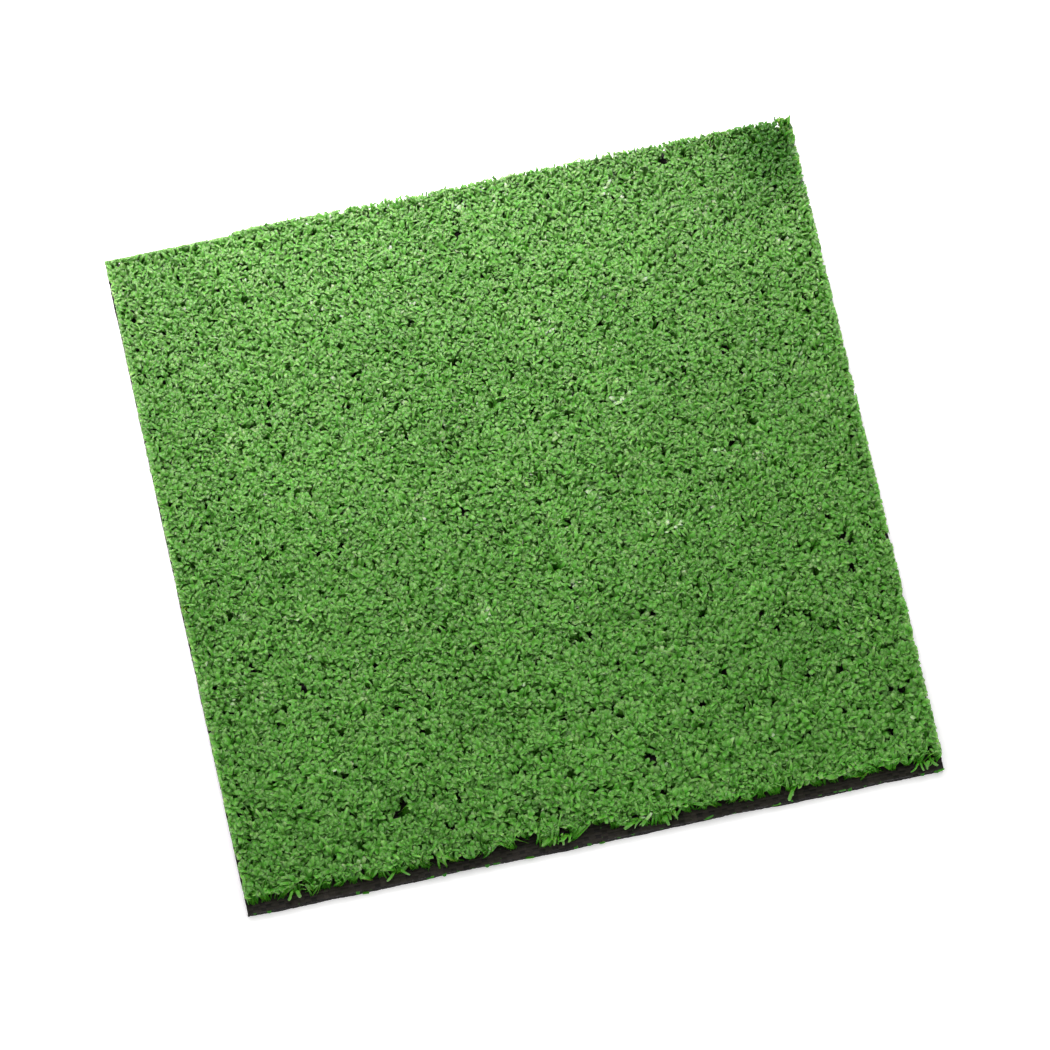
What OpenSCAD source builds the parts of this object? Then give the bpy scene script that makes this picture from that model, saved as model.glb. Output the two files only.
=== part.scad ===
// Golf hitting mat: a square of tufted turf on a thin rubber pad.
// The origin is the middle of the underside, +X is across the tuft rows and +Y runs along them.
// The layers are stacked from the floor up, each one resting on the layer below.

/* [Mat] */
// Width of the mat, across the tuft rows
mat_w = 305; // [250:5:400]
// Depth of the mat, along the tuft rows
mat_d = 305; // [250:5:600]

/* [Layers] */
// Thickness of the rubber pad that lies on the floor
pad_t = 3; // [2:0.5:12]
// Thickness of the adhesive between the pad and the backing
bond_t = 0.3; // [0.2:0.1:1]
// Thickness of the latex coat that locks the stitches
latex_t = 1.2; // [1:0.1:3]
// Thickness of one woven backing tape
tape_t = 0.25; // [0.2:0.05:0.5]
// Height of the pile above the woven backing
pile_h = 9; // [6:0.5:20]

/* [Tufting] */
// Number of tuft rows, one for each needle
row_count = 48; // [30:1:55]
// Number of stitches along a row
stitch_count = 48; // [20:1:60]
// Width of the yarn where it passes through the backing
prong_w = 1.6; // [1:0.1:2]
// Length of the yarn where it passes through the backing
prong_l = 2; // [1.5:0.1:3]

/* [Hidden] */
gauge = mat_w / row_count;        // from one row to the next
pitch = mat_d / stitch_count;     // from one stitch to the next

stitch_w = prong_w * 1.8;         // the back stitch spreads wider than the prong
stitch_t = latex_t * 0.6;         // and is sunk this deep in the latex
needle_gap = 0.1;                 // room around a prong in its opening
pile_gap = 0.3;                   // between the piles of neighbouring rows
crown_r = gauge * 0.8;            // the top of a pile is rounded to this radius

slot_w = prong_w + 2 * needle_gap;
slot_l = prong_l + 2 * needle_gap;

bond_z = pad_t;
latex_z = bond_z + bond_t;
weft_z = latex_z + latex_t;
warp_z = weft_z + tape_t;
pile_z = warp_z + tape_t;

overlap = 0.1;                    // how far the solids of one row run into each other

row_x = [for (i = [0 : row_count - 1]) (i + 0.5) * gauge - mat_w / 2];
stitch_y = [for (i = [0 : stitch_count - 1]) (i + 0.5) * pitch - mat_d / 2];

function row_name(i) = str("tuft_row_", i < 9 ? "0" : "", i + 1);
row_nodes = [for (i = [0 : row_count - 1]) row_name(i)];

// A slab of the mat's own outline, from height z up.
module layer(z, t) {
    translate([-mat_w / 2, -mat_d / 2, z]) cube([mat_w, mat_d, t]);
}

// Black rubber pad that grips the floor and cushions the strike.
module base_pad() {
    color("#2a2426") layer(0, pad_t);
}

// Adhesive that holds the turf to the pad.
module bond_film() {
    color("#3b3634") layer(bond_z, bond_t);
}

// Latex coat, with a channel where each row's back stitch lies.
module latex_backing() {
    color("#1d191b") difference() {
        layer(latex_z, latex_t);
        for (x = row_x)
            translate([x - stitch_w / 2, -mat_d, weft_z - stitch_t])
                cube([stitch_w, 2 * mat_d, latex_t]);
    }
}

// Woven backing tapes that run across the rows, between the stitches.
module weft_tapes() {
    color("#3a2f33") difference() {
        layer(weft_z, tape_t);
        for (y = stitch_y)
            translate([-mat_w, y - slot_l / 2, weft_z - tape_t])
                cube([2 * mat_w, slot_l, 3 * tape_t]);
    }
}

// Woven backing tapes that run along the rows, between them.
module warp_tapes() {
    color("#463a3e") difference() {
        layer(warp_z, tape_t);
        for (x = row_x)
            translate([x - slot_w / 2, -mat_d, warp_z - tape_t])
                cube([slot_w, 2 * mat_d, 3 * tape_t]);
    }
}

// Cross-section of a row's standing pile: straight sides and a rounded crown.
module pile_profile() {
    pile_w = gauge - pile_gap;
    intersection() {
        translate([-pile_w / 2, 0]) square([pile_w, pile_h]);
        translate([0, pile_h - crown_r]) circle(r = crown_r, $fn = 64);
    }
    translate([-pile_w / 2, 0]) square([pile_w, pile_h - crown_r]);
}

// One needle's yarn: its back stitch, the prongs through the backing and the standing pile.
module tuft_row(x) {
    color("#5a8b40") translate([x, 0, 0]) {
        translate([-stitch_w / 2, -mat_d / 2, weft_z - stitch_t])
            cube([stitch_w, mat_d, stitch_t]);
        for (y = stitch_y)
            translate([-prong_w / 2, y - prong_l / 2, weft_z - overlap])
                cube([prong_w, prong_l, 2 * tape_t + 2 * overlap]);
        translate([0, mat_d / 2, pile_z]) rotate([90, 0, 0])
            linear_extrude(mat_d) pile_profile();
    }
}

base_pad();
bond_film();
latex_backing();
weft_tapes();
warp_tapes();
for (i = [0 : row_count - 1])
    tuft_row(row_x[i]);
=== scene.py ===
"""Golf hitting mat: a square of curled, tufted turf on a woven, latex-coated backing and a thin rubber pad."""

import math

import bpy
import numpy as np
from mathutils import Matrix, Vector
from mathutils.geometry import delaunay_2d_cdt


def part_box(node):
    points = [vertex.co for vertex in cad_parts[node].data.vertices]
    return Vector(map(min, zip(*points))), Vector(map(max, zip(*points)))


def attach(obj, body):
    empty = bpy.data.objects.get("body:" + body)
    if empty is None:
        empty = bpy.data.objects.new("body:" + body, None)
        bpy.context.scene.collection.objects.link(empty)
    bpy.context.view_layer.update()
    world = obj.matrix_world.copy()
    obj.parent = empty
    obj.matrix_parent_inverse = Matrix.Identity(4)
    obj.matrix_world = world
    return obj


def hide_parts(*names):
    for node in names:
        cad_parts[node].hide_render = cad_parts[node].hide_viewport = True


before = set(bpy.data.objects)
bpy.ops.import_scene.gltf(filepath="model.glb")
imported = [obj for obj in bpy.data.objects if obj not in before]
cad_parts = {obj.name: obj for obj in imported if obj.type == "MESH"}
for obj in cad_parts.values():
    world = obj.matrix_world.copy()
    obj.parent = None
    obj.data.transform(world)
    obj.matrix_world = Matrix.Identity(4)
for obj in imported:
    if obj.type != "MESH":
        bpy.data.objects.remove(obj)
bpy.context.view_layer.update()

MM = 0.001

# ---------------------------------------------------------------- places, read from the frame

ROWS = sorted(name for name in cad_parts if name.startswith("tuft_row_"))
HALF_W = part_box("base_pad")[1].x
HALF_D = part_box("base_pad")[1].y
LATEX_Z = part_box("latex_backing")[0].z
WEAVE_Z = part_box("weft_tapes")[0].z
PILE_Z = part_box("warp_tapes")[1].z
GAUGE = 2 * HALF_W / len(ROWS)


# ---------------------------------------------------------------- meshes

def new_piece(name, points, faces, material, node_names):
    """A mesh in the row frame that rides on the root body and stands for some CAD nodes."""
    mesh = bpy.data.meshes.new(name)
    mesh.from_pydata(points, [], faces)
    mesh.materials.append(material)
    piece = bpy.data.objects.new(name, mesh)
    bpy.context.scene.collection.objects.link(piece)
    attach(piece, "root")
    if node_names:
        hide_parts(*node_names)
    return piece


def add_values(mesh, name, values):
    """One number for each point of the mesh, for its material to read."""
    mesh.attributes.new(name, "FLOAT", "POINT").data.foreach_set("value", values.astype(np.float32))


def add_vectors(mesh, name, vectors):
    """One vector for each point of the mesh, for its material to read."""
    data = mesh.attributes.new(name, "FLOAT_VECTOR", "POINT").data
    data.foreach_set("vector", vectors.astype(np.float32).ravel())


def waves(rng, at, longest, count=5):
    """A smooth wander along a line, from -1 to 1 or so: a few sine waves, each half as long as the last."""
    total = np.zeros_like(at)
    for k in range(count):
        total += 0.6 ** k * np.sin(2 * np.pi * (at / longest * 1.9 ** k + rng.random()))
    return total / 1.6


# ---------------------------------------------------------------- materials

class Nodes:
    """A material's node tree, with short calls to add and join its nodes."""

    def __init__(self, name):
        self.material = bpy.data.materials.new(name)
        self.material.use_nodes = True
        self.tree = self.material.node_tree
        self.shader = self.tree.nodes["Principled BSDF"]

    def add(self, kind, **settings):
        node = self.tree.nodes.new("ShaderNode" + kind)
        for key, value in settings.items():
            setattr(node, key, value)
        return node

    def join(self, output, socket):
        self.tree.links.new(output, socket)

    def attribute(self, name):
        return self.add("Attribute", attribute_name=name)

    def position(self):
        """The point's own place in the row frame, in metres."""
        return self.add("TexCoord").outputs["Object"]

    def noise(self, vector, scale, detail=2.0, roughness=0.5):
        node = self.add("TexNoise")
        node.inputs["Scale"].default_value = scale
        node.inputs["Detail"].default_value = detail
        node.inputs["Roughness"].default_value = roughness
        self.join(vector, node.inputs["Vector"])
        return node.outputs["Fac"]

    def stretched(self, vector, scale):
        """The vector with each of its axes scaled."""
        node = self.add("VectorMath", operation="MULTIPLY")
        node.inputs[1].default_value = scale
        self.join(vector, node.inputs[0])
        return node.outputs[0]

    def ramp(self, value, stops):
        """Colours along a value: stops are (place, (red, green, blue))."""
        node = self.add("ValToRGB")
        elements = node.color_ramp.elements
        while len(elements) < len(stops):
            elements.new(0.5)
        for element, (place, colour) in zip(elements, stops):
            element.position = place
            element.color = (*colour, 1)
        self.join(value, node.inputs["Fac"])
        return node.outputs["Color"]

    def mix(self, factor, a, b, blend="MIX"):
        node = self.add("Mix", data_type="RGBA", blend_type=blend)
        for value, socket in ((factor, node.inputs["Factor"]), (a, node.inputs["A"]), (b, node.inputs["B"])):
            if isinstance(value, bpy.types.NodeSocket):
                self.join(value, socket)
            elif isinstance(value, tuple):
                socket.default_value = (*value, 1)
            else:
                socket.default_value = value
        return node.outputs["Result"]

    def spread(self, value, low, high, to_low, to_high):
        """The value, moved from one range to another and held inside it."""
        node = self.add("MapRange")
        for name, number in (("From Min", low), ("From Max", high), ("To Min", to_low), ("To Max", to_high)):
            node.inputs[name].default_value = number
        self.join(value, node.inputs["Value"])
        return node.outputs["Result"]

    def bump(self, height, strength, distance):
        node = self.add("Bump")
        node.inputs["Strength"].default_value = strength
        node.inputs["Distance"].default_value = distance
        self.join(height, node.inputs["Height"])
        self.join(node.outputs["Normal"], self.shader.inputs["Normal"])


def yarn_material():
    """Green plastic ribbon with fine ribs along it: dark at its root, as painted shade deep in the pile, and
    paler at its cut tip.

    Its colour also carries painted light and shade along the mat: greener at the near edge, paler at the far
    one, darkest at the middle.
    """
    m = Nodes("turf_ribbon")
    along = m.attribute("along").outputs["Fac"]
    tint = m.attribute("tint").outputs["Fac"]
    shade = m.attribute("shade").outputs["Fac"]
    strip = m.attribute("strip").outputs["Vector"]
    farness = m.attribute("farness").outputs["Fac"]
    # painted shade: darker and more saturated green towards the root, where the pile lies in shade
    height = m.ramp(along, [(0.0, (0.048, 0.265, 0.008)), (0.45, (0.068, 0.280, 0.018)),
                            (0.85, (0.100, 0.308, 0.043)), (1.0, (0.148, 0.352, 0.080))])
    # random tint per ribbon; its palest end gives a few near-white ribbons that are partly painted glints
    dye = m.ramp(tint, [(0.0, (0.86, 0.90, 0.84)), (0.45, (0.97, 0.98, 0.95)), (0.88, (1.14, 1.08, 1.16)),
                        (0.97, (1.50, 1.22, 1.60)), (0.994, (2.0, 1.35, 2.4)), (1.0, (3.0, 1.75, 4.6))])
    # painted light and shade along the mat: greener at the near edge, darkest at the middle, paler and brighter
    # at the far edge
    painted_light_along_mat = m.ramp(farness, [(0.0, (1.02, 1.14, 0.95)), (0.5, (0.92, 0.99, 0.90)),
                                   (1.0, (1.08, 1.04, 1.17))])
    base = m.mix(1.0, m.mix(1.0, height, dye, blend="MULTIPLY"), painted_light_along_mat, blend="MULTIPLY")
    ribs = m.noise(m.stretched(strip, (6.0, 0.25, 1.0)), 1.0)
    tone = m.add("Math", operation="MULTIPLY")
    m.join(m.spread(ribs, 0.3, 0.7, 0.73, 0.85), tone.inputs[0])
    m.join(shade, tone.inputs[1])
    # darker and greener where the shade attribute is low: random tone, and painted shade where the attribute
    # carries it
    tone_and_painted_shade = m.ramp(tone.outputs[0], [(0.0, (0.0, 0.0, 0.0)), (0.4, (0.32, 0.46, 0.28)), (0.8, (1.0, 1.0, 1.0)),
                                    (1.0, (1.25, 1.25, 1.25))])
    m.join(m.mix(1.0, base, tone_and_painted_shade, blend="MULTIPLY"), m.shader.inputs["Base Color"])
    m.join(m.spread(ribs, 0.3, 0.7, 0.36, 0.56), m.shader.inputs["Roughness"])
    m.shader.inputs["Specular IOR Level"].default_value = 0.25
    m.shader.inputs["Subsurface Weight"].default_value = 0.5
    m.shader.inputs["Subsurface Radius"].default_value = (0.4, 1.0, 0.2)
    m.shader.inputs["Subsurface Scale"].default_value = 0.0010
    m.bump(ribs, 0.25, 0.00005)
    return m.material


def tape_material():
    """Dark woven plastic tape with a purple-brown cast and a drawn-plastic streak along it."""
    m = Nodes("woven_tape")
    tint = m.attribute("tint").outputs["Fac"]
    strip = m.attribute("strip").outputs["Vector"]
    streak = m.noise(m.stretched(strip, (5.0, 0.3, 1.0)), 1.0)
    dye = m.ramp(tint, [(0.0, (0.005, 0.004, 0.003)), (0.6, (0.011, 0.009, 0.006)),
                        (1.0, (0.032, 0.027, 0.020))])
    shade = m.ramp(streak, [(0.3, (0.7, 0.7, 0.7)), (0.7, (1.2, 1.2, 1.2))])
    m.join(m.mix(1.0, dye, shade, blend="MULTIPLY"), m.shader.inputs["Base Color"])
    m.join(m.spread(streak, 0.3, 0.7, 0.5, 0.75), m.shader.inputs["Roughness"])
    m.shader.inputs["Specular IOR Level"].default_value = 0.2
    m.bump(streak, 0.4, 0.00008)
    return m.material


def lumpy_material(name, dark, light, rough, grain, depth):
    """Cast rubber or latex: two shades in soft lumps, with a finer grain in relief."""
    m = Nodes(name)
    place = m.position()
    lumps = m.noise(place, 260.0, detail=4.0)
    fine = m.noise(place, grain, detail=3.0, roughness=0.6)
    m.join(m.ramp(lumps, [(0.3, dark), (0.75, light)]), m.shader.inputs["Base Color"])
    m.join(m.spread(fine, 0.3, 0.7, rough - 0.12, rough + 0.1), m.shader.inputs["Roughness"])
    m.shader.inputs["Specular IOR Level"].default_value = 0.2
    m.bump(fine, 0.6, depth)
    return m.material


# ---------------------------------------------------------------- ribbons

RING_PLACES = np.array([0, 0.34, 0.55, 0.70, 0.81, 0.91, 1.0])   # cross-sections, closer where a ribbon curls
RINGS = len(RING_PLACES)
SHEET_COLUMNS = 48        # ribbons side by side in a row's texture map


def unit(vectors):
    return vectors / np.linalg.norm(vectors, axis=-1, keepdims=True)


def ribbon_points(root, slope, hook, bend, sharp, length, width, fold, tip, roll, drift):
    """Points of many ribbons, (n, RINGS, 3, 3): at each ring the left edge, the ridge and the right edge.

    A ribbon leaves its root at slope (across and along the mat, per unit of height), straightens up, and
    curls over by bend towards the heading hook, late if sharp is high. It turns by drift as it goes, is
    rolled about itself, is folded lengthwise to a ridge of height fold, and narrows to tip at its cut end.
    """
    s = RING_PLACES
    splay = slope[:, None] * (1.35 - 0.9 * s)[None, :, None]
    base = unit(np.concatenate([splay, np.ones((len(root), RINGS, 1))], axis=2))
    turn = hook[:, None] + drift[:, None] * s
    level = np.stack([np.cos(turn), np.sin(turn), np.zeros_like(turn)], axis=2)
    over = unit(level - base * np.sum(level * base, axis=2, keepdims=True))
    side = np.cross(base, over)
    tilt = (bend[:, None] * s ** sharp[:, None])[:, :, None]
    along = np.cos(tilt) * base + np.sin(tilt) * over
    out = np.cross(along, side)
    steps = (along[:, 1:] + along[:, :-1]) / 2 * (length[:, None] * np.diff(s))[:, :, None]
    path = np.concatenate([np.zeros((len(root), 1, 3)), np.cumsum(steps, axis=1)], axis=1) + root[:, None]
    twist = (roll[:, 0, None] + roll[:, 1, None] * s)[:, :, None]
    across = np.cos(twist) * side + np.sin(twist) * out
    up = np.cos(twist) * out - np.sin(twist) * side
    full = np.interp(s, [0, 0.3, 0.9, 1], [0.75, 1, 1, 0])
    cut = np.where(s > 0.95, 1.0, 0.0)
    half = (width[:, None] / 2 * (full + cut * tip[:, None]))[:, :, None] * across
    ridge = up * (fold[:, None] * np.interp(s, [0, 0.9, 1], [1.0, 1.0, 0.6]))[:, :, None]
    return np.stack([path - half, path + ridge, path + half], axis=2)


def ribbon_faces(count):
    """Faces of count ribbons and, for each face corner, its (column, ring) in the texture map."""
    faces, corners = [], []
    for k in range(RINGS - 1):
        a, b = 3 * k, 3 * k + 3
        for j in range(3):
            n = (j + 1) % 3
            faces.append((a + j, b + j, b + n, a + n))
            corners.append(((j, k), (j, k + 1), (j + 1, k + 1), (j + 1, k)))
    end = 3 * (RINGS - 1)
    faces += [(0, 1, 2), (end, end + 2, end + 1)]
    corners += [((0, 0), (1, 0), (2, 0)), ((0, RINGS - 1), (2, RINGS - 1), (1, RINGS - 1))]
    per = 3 * RINGS
    all_faces = [tuple(per * i + v for v in face) for i in range(count) for face in faces]
    flat = np.array([c for face in corners for c in face], float)
    return all_faces, flat


def ribbon_piece(name, points, tint, shade, material, node_names):
    """One mesh from many ribbons, with the numbers its material reads and a map that holds each one flat."""
    count = len(points)
    faces, corners = ribbon_faces(count)
    piece = new_piece(name, points.reshape(-1, 3), faces, material, node_names)
    mesh = piece.data
    along = np.broadcast_to(RING_PLACES[None, :, None], (count, RINGS, 3))
    across = np.broadcast_to(np.array([-1.0, 0.0, 1.0])[None, None, :], (count, RINGS, 3))
    number = np.broadcast_to(np.arange(count)[:, None, None] * 7.31, (count, RINGS, 3))
    add_values(mesh, "along", along.ravel())
    add_values(mesh, "tint", np.repeat(tint, 3 * RINGS))
    add_values(mesh, "shade", np.repeat(shade, 3 * RINGS))
    # farness: place along the mat, 0 at the near edge and 1 at the far one, read by the painted light and shade
    # along the mat
    add_values(mesh, "farness", np.repeat(0.5 + points[:, 0, 1, 1] / (2 * HALF_D), 3 * RINGS))
    add_vectors(mesh, "strip", np.stack([across, along * 10, number], axis=3).reshape(-1, 3))
    mesh.shade_smooth()
    ends = np.zeros(2 * len(mesh.edges), np.int32)
    mesh.edges.foreach_get("vertices", ends)
    place = ends.reshape(-1, 2) % 3
    rim = (place[:, 0] == place[:, 1]) & (place[:, 0] != 1)
    mesh.attributes.new("sharp_edge", "BOOLEAN", "EDGE").data.foreach_set("value", rim)
    sheet_map(mesh, count, corners)
    return piece


def sheet_map(mesh, count, corners):
    """A texture map with each ribbon unrolled in its own cell, so that a bake of it wastes nothing."""
    rows = math.ceil(count / SHEET_COLUMNS)
    cell = np.stack([np.arange(count) % SHEET_COLUMNS, np.arange(count) // SHEET_COLUMNS], axis=1)
    inside = 0.1 + 0.8 * corners / (3, RINGS - 1)
    uv = (cell[:, None] + inside[None]) / (SHEET_COLUMNS, rows)
    mesh.uv_layers.new(name="OFBake").data.foreach_set("uv", uv.astype(np.float32).ravel())


# ---------------------------------------------------------------- the pile

STITCHES = 48             # stitches along a row
LEG_GAP = 2.6 * MM        # between the two legs of a stitch
LEG_RIBBONS = 17          # ribbons in a leg
NEAR_BARE = 2.4 * MM      # the strip of backing left bare along the near cut
LEAN_H = 7.5 * MM         # the height at which a ribbon's lean is set
CLUMP = (0.75 * MM, 0.6 * MM)           # how far a leg's ribbons lean together, across and along the row
EVEN_STEP = np.array([0.7549, 0.5698])  # steps that fill a unit square evenly, however many are taken
TRIM_SLOPE = 0.38         # how far the trimmed far edge leans in, per unit of height
NO_TRIM = 40 * MM         # added to a trim line, puts it past every ribbon


def comb(x, y):
    """Which way the pile has been brushed at a point: the shift of its tips, in metres."""
    u, v = x / HALF_W, y / HALF_D
    shift_x = 0.5 * np.sin(2.3 * u + 3.1 * v + 0.4) + 0.5 * np.sin(7.1 * u - 5.3 * v + 2.0)
    shift_y = 0.6 * np.sin(1.7 * v - 2.9 * u + 1.1) + 0.5 * np.sin(6.3 * v + 4.7 * u)
    return 0.9 * MM * np.stack([shift_x, shift_y], axis=-1)


def mottle_and_painted_shade(x, y):
    """How bright the pile's colour is at a point: mottled, and darkened by painted shade over the far right
    corner.
    """
    u, v = x / HALF_W, y / HALF_D
    mottle = np.sin(5.1 * u + 3.7 * v + 0.7) * np.sin(4.3 * v - 2.9 * u + 2.1)
    mottle += 0.7 * np.sin(13.1 * u - 4.1 * v + 1.9) * np.sin(11.3 * v + 5.3 * u)
    # painted shade: the far right corner is darkened, standing for shade there
    painted_corner_shade = np.exp(-(np.clip(0.95 - u, 0, 2) / 0.17) ** 2 - (np.clip(0.93 - v, 0, 2) / 0.17) ** 2)
    return (1 + 0.06 * mottle) * (1 - 0.5 * painted_corner_shade)


def near_edge(y):
    """How close a place is to the near cut: 1 within 3 mm of it, falling to 0 at 9 mm."""
    return np.clip(1 - (y + HALF_D - 3 * MM) / (6 * MM), 0, 1)


def raggedness(x):
    """How loose the pile's far edge is, from 0 at the left, where it was trimmed square, to 1."""
    return np.clip((x / HALF_W + 0.62) / 0.5, 0, 1)


def stood_up(points, reach, limits, give=0.0):
    """The ribbons, each leaned back until its furthest point along reach is inside its limit.

    Reach is a direction (across, along, up). A ribbon that falls short by up to give is leaned out instead.
    """
    lean = np.array([reach[0], reach[1], 0.0])
    for _ in range(2):
        past = np.maximum((points @ np.array(reach)).max(axis=(1, 2)) - limits, -give)
        points = points - lean * past[:, None, None, None] * RING_PLACES[None, :, None, None]
    return points


def trimmed(rng, points):
    """The ribbons, kept inside the mat's cut edges: tight at the sides, looser near and far."""
    count = len(points)
    root = points[:, 0, 1]
    loose = raggedness(root[:, 0])
    last = (root[:, 1] > HALF_D - 3 * MM) * (1 - loose)
    trim_line = HALF_D + TRIM_SLOPE * (PILE_Z + 7.0 * MM) + rng.uniform(-0.3, 0.1, count) * MM
    points = stood_up(points, (0, 1, TRIM_SLOPE), trim_line + NO_TRIM * loose, 2.0 * MM * last)
    points = stood_up(points, (0, 1, 0), HALF_D + 0.9 * MM - rng.uniform(0, 1.2, count) * MM * loose)
    uneven = np.repeat(rng.uniform(0, 2.5, count // LEG_RIBBONS), LEG_RIBBONS) + rng.uniform(0, 3.0, count)
    near_cut = bare_strip(root[:, 0]) - NEAR_BARE + (2.0 + uneven) * MM
    points = stood_up(points, (0, -1, 0), HALF_D - near_cut)
    outer = np.abs(root[:, 0]) > HALF_W - 4 * MM
    for side in (-1, 1):
        cut = HALF_W - rng.uniform(-0.3 * MM, 0.4 * MM, count)
        points = stood_up(points, (side, 0, 0), cut, 0.8 * MM * (outer & (side * root[:, 0] > 0)))
    return points


def bare_strip(x):
    """How wide the strip of bare backing is along the near cut: uneven, and widest near its middle."""
    place = 0.5 + x / (2 * HALF_W)
    wide = 1.2 * np.exp(-((place - 0.15) / 0.02) ** 2) + 1.1 * np.exp(-((place - 0.38) / 0.03) ** 2)
    return NEAR_BARE + (wide + 1.7 * np.exp(-((place - 0.50) / 0.035) ** 2)) * MM


def tip_shifts(rng, root, legs):
    """How far each ribbon's tip stands off its root: a leg's tips fill its cell evenly, then clump a little."""
    number = np.tile(np.arange(LEG_RIBBONS), len(legs))
    start = np.repeat(rng.random((len(legs), 2)), LEG_RIBBONS, axis=0)
    cell = (GAUGE, HALF_D / STITCHES)
    even = ((start + number[:, None] * EVEN_STEP) % 1 - 0.5) * cell * 1.15
    nearness = 0.5 - legs[:, 1:] / (2 * HALF_D)
    clump = np.repeat(rng.normal(0, 1.0, (len(legs), 2)) * CLUMP * (1 + 2.1 * nearness), LEG_RIBBONS, axis=0)
    target = np.repeat(legs, LEG_RIBBONS, axis=0) + even + clump + rng.normal(0, 0.6 * MM, (len(root), 2))
    return target + comb(root[:, 0], root[:, 1]) - root[:, :2]


def standing_ribbons(rng, x_row):
    """The cut pile of one needle's yarn: ribbons in two legs at each stitch, each curled over its own way."""
    pitch = 2 * HALF_D / STITCHES
    stitch_y = (np.arange(STITCHES) + 0.5) * pitch - HALF_D
    cell_y = np.append(np.stack([stitch_y - pitch / 4, stitch_y + pitch / 4], axis=1), HALF_D - 1.3 * MM)
    leg_y = np.append(np.stack([stitch_y - LEG_GAP / 2, stitch_y + LEG_GAP / 2], axis=1), HALF_D - 0.9 * MM)
    legs = len(leg_y)
    count = legs * LEG_RIBBONS
    leg_spread = (0.6 + 0.9 * near_edge(leg_y)) * MM
    root = np.stack([x_row + rng.normal(0, 1.0, count) * np.repeat(leg_spread, LEG_RIBBONS),
                     np.repeat(leg_y, LEG_RIBBONS) + rng.normal(0, 0.45 * MM, count),
                     np.full(count, PILE_Z - 0.2 * MM)], axis=1)
    bare = bare_strip(root[:, 0]) + np.repeat(rng.uniform(-0.9, 2.8, legs), LEG_RIBBONS) * MM
    kept = root[:, 1] > bare - HALF_D
    shift = tip_shifts(rng, root, np.stack([np.full(legs, x_row), cell_y], axis=1))
    nearness = 0.5 - root[:, 1] / (2 * HALF_D)
    kind = rng.random(count)
    bend = np.select([kind < 0.2, kind < 0.75], [rng.uniform(0.2, 0.9, count), rng.uniform(0.9, 2.0, count)],
                     rng.uniform(2.0, 3.1, count))
    at_near_edge = near_edge(root[:, 1])
    far_edge = np.clip(1 - (HALF_D - root[:, 1]) / (6 * MM), 0, 1) * raggedness(root[:, 0])
    bend *= 1 - 0.6 * at_near_edge - 0.6 * far_edge
    stray = rng.random(count) < 0.045
    bend = np.where(stray, rng.uniform(1.3, 2.0, count), bend)
    tuft = np.repeat(rng.normal(0, 1.0, legs), LEG_RIBBONS)
    length = rng.normal(9.5 * MM, 0.7 * MM, count) + (bend + 0.8 * nearness * tuft) * MM
    width = rng.normal(1.38 * MM, 0.18 * MM, count) + (0.8 * nearness - 1.15 * at_near_edge) * MM
    spike = (far_edge > 0.3) & (rng.random(count) < 0.22)
    bend = np.where(spike, rng.uniform(0.1, 0.5, count), bend)
    points = ribbon_points(
        root=root,
        slope=shift / LEAN_H,
        hook=rng.uniform(-math.pi, math.pi, count),
        bend=bend,
        sharp=rng.uniform(2.2, 4.6, count),
        length=length.clip(7.5 * MM, 13.5 * MM) + 2.5 * MM * stray + 1.2 * MM * spike,
        width=width.clip(0.8 * MM, 2.3 * MM) * (1 - 0.4 * (stray | spike)),
        fold=rng.uniform(0.06 * MM, 0.24 * MM, count),
        tip=rng.uniform(0.45, 1.0, count),
        roll=rng.normal(0, 1.0, (count, 2)) * (0.25, 0.4),
        drift=rng.normal(0, 0.8, count),
    )
    own = np.where(rng.random(count) < 0.5, rng.random(count), np.repeat(rng.random(legs), LEG_RIBBONS))
    tint = np.where(stray | spike, rng.uniform(0.85, 0.98, count), own)
    # painted light and shade: a taller tuft's ribbons are lighter and a lower tuft's darker, more so towards
    # the near edge
    shade = mottle_and_painted_shade(root[:, 0], root[:, 1]) * (1 + (0.03 + 0.07 * nearness) * tuft)
    return trimmed(rng, points)[kept], tint[kept], shade[kept]


BACK_Z = LATEX_Z + 0.75 * MM            # the middle of the back stitches, in the latex coat
# Tufts pulled out over the near cut edge: place across the mat from its left side, how many ribbons, and
# which way they fall, in radians to the right of straight out
PULLED_TUFTS = ((0.07, 3, -0.3), (0.22, 2, 0.0), (0.452, 9, -0.1), (0.565, 7, -1.0), (0.607, 5, 0.1),
                (0.788, 2, -0.3), (0.968, 3, 0.0), (0.985, 3, 0.0))
# Clippings and stitch ends caught on the near cut edge
CLIPPINGS = (0.164, 0.256, 0.352, 0.398, 0.504, 0.655, 0.752, 0.848, 0.992)


def back_stitches(rng, x_row):
    """The yarn between the stitches, flat under the backing. Its last ends stick out of the cut edges."""
    count = STITCHES + 1
    start = np.arange(count) * 2 * HALF_D / STITCHES - HALF_D - 1.6 * MM
    run = np.full(count, 2 * HALF_D / STITCHES - 3.2 * MM)
    start[0] = -HALF_D - rng.choice([-0.6, 0.1, 1.0], p=[0.5, 0.3, 0.2]) * MM
    run[0] = 2.2 * MM
    run[-1] = 1.6 * MM + rng.uniform(-0.6, 0.5) * MM
    root = np.stack([x_row + rng.normal(0, 0.25 * MM, count), start, np.full(count, BACK_Z)], axis=1)
    flat = np.full(count, math.pi / 2)
    points = ribbon_points(
        root=root,
        slope=np.zeros((count, 2)),
        hook=flat + rng.normal(0, 0.05, count),
        bend=flat,
        sharp=np.full(count, 0.001),
        length=run,
        width=rng.uniform(1.5 * MM, 2.0 * MM, count),
        fold=np.full(count, 0.25 * MM),
        tip=np.full(count, 1.0),
        roll=np.zeros((count, 2)),
        drift=np.zeros(count),
    )
    return points, 0.3 * rng.random(count), np.full(count, 0.42)


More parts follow.
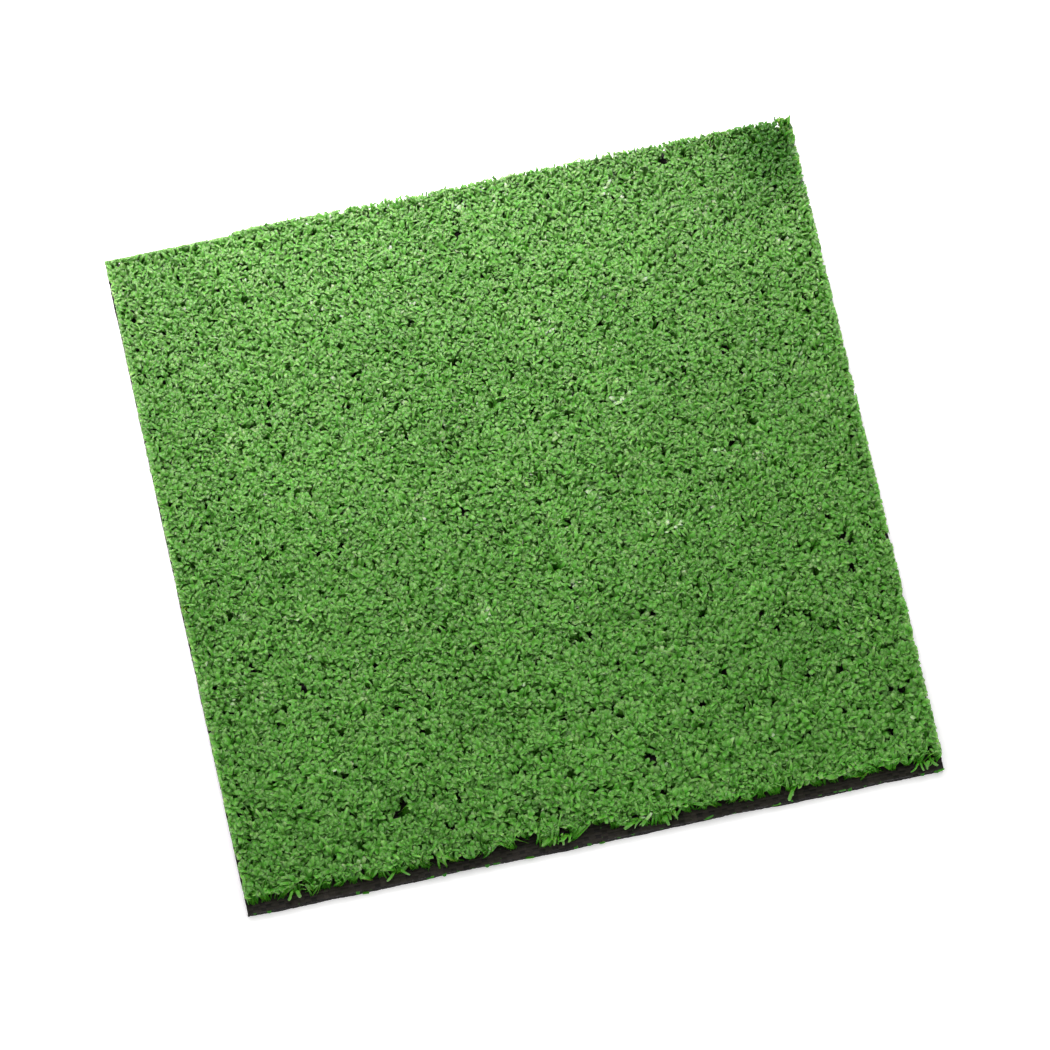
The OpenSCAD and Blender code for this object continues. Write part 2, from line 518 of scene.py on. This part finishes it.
def pulled_ribbons(rng, place, count, fall):
    """A tuft pulled out over the near cut edge, its ribbons lying down across it side by side."""
    fan = (np.arange(count) + 0.5) / count - 0.5
    root = np.stack([(2 * place - 1) * HALF_W + 1.1 * MM * count * fan + rng.normal(0, 0.4 * MM, count),
                     -HALF_D + rng.uniform(3.5 * MM, 5.5 * MM, count),
                     PILE_Z + rng.uniform(2.5 * MM, 5.0 * MM, count)], axis=1)
    root[:, 0] = root[:, 0].clip(0.8 * MM - HALF_W, HALF_W - 0.8 * MM)
    points = ribbon_points(
        root=root,
        slope=np.stack([0.4 * fan + rng.normal(0, 0.2, count), rng.uniform(-0.8, -0.3, count)], axis=1),
        hook=0.7 * fan + fall + rng.normal(-math.pi / 2, 0.3, count),
        bend=rng.uniform(1.8, 2.5, count),
        sharp=rng.uniform(0.4, 0.9, count),
        length=rng.uniform(5.5 * MM, 8.5 * MM, count),
        width=rng.uniform(0.9 * MM, 1.7 * MM, count),
        fold=rng.uniform(0.2 * MM, 0.45 * MM, count),
        tip=rng.uniform(0.3, 1.0, count),
        roll=rng.normal(0, 1.0, (count, 2)) * (0.4, 1.0),
        drift=rng.normal(0, 0.7, count),
    )
    points = stood_up(points, (0, -1, 0), HALF_D + rng.uniform(-1.6 * MM, 0.5 * MM, count))
    ground = np.where(points[:, :, 1, 1] > -HALF_D, PILE_Z + 0.2 * MM, 0.3 * MM)
    points[..., 2] += np.maximum(ground - points[..., 2].min(axis=2), 0)[:, :, None]
    return points, rng.uniform(0.95, 0.992, count), rng.uniform(0.8, 1.0, count)


def clipping(rng, place):
    """A short end of ribbon that lies along the near cut edge."""
    root = np.array([[(2 * place - 1) * HALF_W, -HALF_D - 0.15 * MM, rng.uniform(1.5 * MM, 4.6 * MM)]])
    root[:, 0] = root[:, 0].clip(None, HALF_W - 4.5 * MM)
    points = ribbon_points(
        root=root,
        slope=np.array([[rng.uniform(2.0, 5.0), -0.15]]),
        hook=np.array([rng.normal(0, 0.3)]),
        bend=np.array([rng.uniform(-0.5, 0.9)]),
        sharp=np.array([1.0]),
        length=np.array([rng.uniform(2.5 * MM, 5.0 * MM)]),
        width=np.array([rng.uniform(0.8 * MM, 1.3 * MM)]),
        fold=np.array([0.2 * MM]),
        tip=np.array([0.8]),
        roll=rng.normal(0, 0.4, (1, 2)),
        drift=np.array([0.0]),
    )
    return points, rng.uniform(0.8, 0.97, 1), np.full(1, 0.5)


def lies_in_row(place, number):
    """Whether a place across the mat, as a share of its width, falls in a row's strip."""
    return int(place * len(ROWS)) == number


def pile():
    """Every tuft row's ribbons, one piece for each row."""
    material = yarn_material()
    for number, row in enumerate(ROWS):
        rng = np.random.default_rng(1000 + number)
        low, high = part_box(row)
        x_row = (low.x + high.x) / 2
        groups = [standing_ribbons(rng, x_row), back_stitches(rng, x_row)]
        groups += [pulled_ribbons(rng, *tuft) for tuft in PULLED_TUFTS if lies_in_row(tuft[0], number)]
        groups += [clipping(rng, place) for place in CLIPPINGS if lies_in_row(place, number)]
        points, tint, shade = (np.concatenate(parts) for parts in zip(*groups))
        ribbon_piece(row + "_ribbons", points, tint, shade, material, [row])


# ---------------------------------------------------------------- the woven backing

TAPE_T = 0.12 * MM        # thickness of a tape
WEAVE_RISE = 0.12 * MM    # how far a tape rises and dips as it crosses the others
WARP_COUNT = 110          # tapes that run along the rows
WEFT_COUNT = 220          # tapes that run across them


def weave(name, node, count, crossings, lengthwise, seed, material):
    """One set of the backing's tapes, each going over and under the tapes of the other set."""
    rng = np.random.default_rng(seed)
    half_run, half_set = (HALF_D, HALF_W) if lengthwise else (HALF_W, HALF_D)
    pitch = 2 * half_set / count
    place = (np.arange(count) + 0.5) * pitch - half_set
    run = (np.arange(crossings) + 0.5) * 2 * half_run / crossings - half_run
    run = np.concatenate([[-half_run], run, [half_run]])
    along = np.broadcast_to(run, (count, len(run))).copy()
    loose = 0.5 if lengthwise else 0.0
    along[:, 0] -= rng.uniform(-0.3, loose, count) * MM
    along[:, -1] += rng.uniform(-0.3, loose, count) * MM
    middle = place[:, None] + 0.10 * pitch * np.stack([waves(rng, run, 0.05, 3) for _ in range(count)])
    over = np.where((np.arange(count)[:, None] + np.arange(len(run))[None]) % 2, 1.0, -1.0)
    over[:, 0] = over[:, -1] = 0
    middle_z = (WEAVE_Z + PILE_Z) / 2
    z = middle_z + (WEAVE_RISE if lengthwise else -WEAVE_RISE) * over
    half = 0.44 * pitch * rng.uniform(0.9, 1.05, (count, 1))
    profile = np.array([(-1, 0), (0, TAPE_T / 2), (1, 0), (0, -TAPE_T / 2)])
    side = middle[:, :, None] + half[:, :, None] * profile[None, None, :, 0]
    up = z[:, :, None] + profile[None, None, :, 1]
    length = np.broadcast_to(along[:, :, None], side.shape)
    parts = (side, length, up) if lengthwise else (length, side, up)
    points = np.stack(parts, axis=3).reshape(-1, 3)
    faces = []
    for t in range(count):
        first = 4 * len(run) * t
        for k in range(len(run) - 1):
            a, b = first + 4 * k, first + 4 * k + 4
            for j in range(4):
                n = (j + 1) % 4
                quad = (a + j, b + j, b + n, a + n)
                faces.append(quad if lengthwise else quad[::-1])
        last = first + 4 * (len(run) - 1)
        start, end = tuple(range(first, first + 4)), tuple(range(last + 3, last - 1, -1))
        faces += [start, end] if lengthwise else [start[::-1], end[::-1]]
    piece = new_piece(name, points, faces, material, [node])
    add_values(piece.data, "tint", np.repeat(rng.random(count), 4 * len(run)))
    across = np.broadcast_to(profile[None, None, :, 0], side.shape)
    number = np.broadcast_to(np.arange(count)[:, None, None] * 3.7, side.shape)
    add_vectors(piece.data, "strip", np.stack([across, length / MM, number], axis=3).reshape(-1, 3))
    return piece


def backing():
    material = tape_material()
    weave("weft_weave", "weft_tapes", WEFT_COUNT, WARP_COUNT, False, 21, material)
    weave("warp_weave", "warp_tapes", WARP_COUNT, WEFT_COUNT, True, 22, material)


# ---------------------------------------------------------------- the slabs below it

def cut_slab(name, node, material, seed, levels, wander, tear, step=0.6 * MM):
    """A layer with a knife-cut rim that wanders a little and is torn in places, closed above and below."""
    rng = np.random.default_rng(seed)
    low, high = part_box(node)
    sides = round(2 * HALF_W / step)
    t = np.arange(sides) / sides * 2 - 1
    one = np.ones(sides)
    ring = np.concatenate([np.stack([t, -one], 1), np.stack([one, t], 1),
                           np.stack([-t, one], 1), np.stack([-one, -t], 1)]) * (HALF_W, HALF_D)
    outward = np.repeat([(0, -1), (1, 0), (0, 1), (-1, 0)], sides, axis=0).astype(float)
    run = np.arange(4 * sides) * step
    slow = wander * waves(rng, run, 0.11, 5)
    rings = []
    for z in np.linspace(low.z, high.z, levels):
        rough = tear * (0.6 * waves(rng, run, 0.004, 3) + 0.5 * rng.normal(0, 1, len(run)))
        inner = -np.abs(rough) + slow - wander
        rings.append(np.column_stack([ring + outward * inner[:, None], np.full(len(run), z)]))
    grid = np.arange(-HALF_W + 6 * MM, HALF_W - 5 * MM, 7 * MM)
    inside = np.array([(x, y) for x in grid for y in grid if abs(y) < HALF_D - 4 * MM])
    flat = [Vector(p) for p in np.concatenate([ring, inside])]
    edges = [(i, (i + 1) % len(ring)) for i in range(len(ring))]
    caps = delaunay_2d_cdt(flat, edges, [], 1, 1e-7)[2]
    points = list(np.concatenate(rings))
    n = len(ring)
    faces = []
    for k in range(levels - 1):
        for i in range(n):
            j = (i + 1) % n
            faces.append((k * n + i, k * n + j, (k + 1) * n + j, (k + 1) * n + i))
    base, top = len(points), len(points) + len(inside)
    points += [(x, y, low.z) for x, y in inside] + [(x, y, high.z) for x, y in inside]
    for face in caps:
        faces.append(tuple(v if v < n else base + v - n for v in reversed(face)))
        faces.append(tuple(v + (levels - 1) * n if v < n else top + v - n for v in face))
    return new_piece(name, points, faces, material, [node])


def slabs():
    rubber = lumpy_material("pad_rubber", (0.003, 0.0025, 0.002), (0.011, 0.009, 0.008), 0.72, 1500.0, 0.00025)
    latex = lumpy_material("latex", (0.003, 0.0025, 0.002), (0.010, 0.008, 0.007), 0.5, 900.0, 0.0002)
    glue = lumpy_material("glue", (0.010, 0.008, 0.008), (0.024, 0.019, 0.018), 0.45, 700.0, 0.0001)
    pad = cut_slab("rubber_pad", "base_pad", rubber, 31, 8, 0.42 * MM, 0.16 * MM)
    cut_slab("glue_line", "bond_film", glue, 32, 3, 0.3 * MM, 0.10 * MM)
    cut_slab("latex_coat", "latex_backing", latex, 33, 5, 0.2 * MM, 0.18 * MM)


# ---------------------------------------------------------------- the studio

CAMERA_AZIMUTH = math.radians(8.8)
CAMERA_ELEVATION = math.radians(69.4)
CAMERA_ROLL = math.radians(-3.55)
CAMERA_DISTANCE = 6.0
CAMERA_AIM = Vector((0.0008, -0.0026, 0.0))
CAMERA_LENS = 476.1       # millimetres, on a 36 mm sensor


def camera():
    data = bpy.data.cameras.new("camera")
    data.lens = CAMERA_LENS
    data.sensor_width = 36
    data.clip_end = 400
    ahead = Vector((math.sin(CAMERA_AZIMUTH) * math.cos(CAMERA_ELEVATION),
                    math.cos(CAMERA_AZIMUTH) * math.cos(CAMERA_ELEVATION), -math.sin(CAMERA_ELEVATION)))
    level = Vector((math.cos(CAMERA_AZIMUTH), -math.sin(CAMERA_AZIMUTH), 0))
    up = level.cross(ahead)
    right = math.cos(CAMERA_ROLL) * level + math.sin(CAMERA_ROLL) * up
    above = right.cross(ahead)
    ob = bpy.data.objects.new("camera", data)
    bpy.context.scene.collection.objects.link(ob)
    place = CAMERA_AIM - ahead * CAMERA_DISTANCE
    ob.matrix_world = Matrix.Translation(place) @ Matrix((right, above, -ahead)).transposed().to_4x4()
    bpy.context.scene.camera = ob


def light(name, kind, place, aim, power, size, **settings):
    data = bpy.data.lights.new(name, kind)
    data.energy = power
    if kind == "AREA":
        data.shape = "DISK"
        data.size = size
    else:
        data.shadow_soft_size = size / 2
    for key, value in settings.items():
        setattr(data, key, value)
    ob = bpy.data.objects.new(name, data)
    bpy.context.scene.collection.objects.link(ob)
    ob.location = place
    ob.rotation_euler = (Vector(aim) - Vector(place)).to_track_quat("-Z", "Y").to_euler()


def studio():
    world = bpy.data.worlds.new("studio")
    world.use_nodes = True
    world.node_tree.nodes["Background"].inputs["Color"].default_value = (1, 1, 1, 1)
    world.node_tree.nodes["Background"].inputs["Strength"].default_value = 0.5
    bpy.context.scene.world = world
    light("overhead", "AREA", (0.0, 0.05, 1.25), (0, 0, 0), 10.4, 1.7)
    light("far_spot", "SPOT", (-0.10, 0.50, 0.95), (-0.05, 0.32, 0), 142.0, 0.5,
          color=(1.0, 0.83, 1.04), spot_size=math.radians(32), spot_blend=0.2)
    half = 150.0
    mesh = bpy.data.meshes.new("floor")
    corners = [(-half, -half, 0), (half, -half, 0), (half, half, 0), (-half, half, 0)]
    mesh.from_pydata(corners, [], [(0, 1, 2, 3)])
    paper = bpy.data.materials.new("paper")
    paper.use_nodes = True
    sockets = paper.node_tree.nodes["Principled BSDF"].inputs
    sockets["Base Color"].default_value = (0.9, 0.9, 0.89, 1)
    sockets["Roughness"].default_value = 0.9
    sockets["Emission Color"].default_value = (1, 1, 1, 1)
    sockets["Emission Strength"].default_value = 0.35
    mesh.materials.append(paper)
    floor = bpy.data.objects.new("floor", mesh)
    bpy.context.scene.collection.objects.link(floor)
    bpy.context.scene.view_settings.view_transform = "Standard"


camera()
studio()
slabs()
backing()
pile()
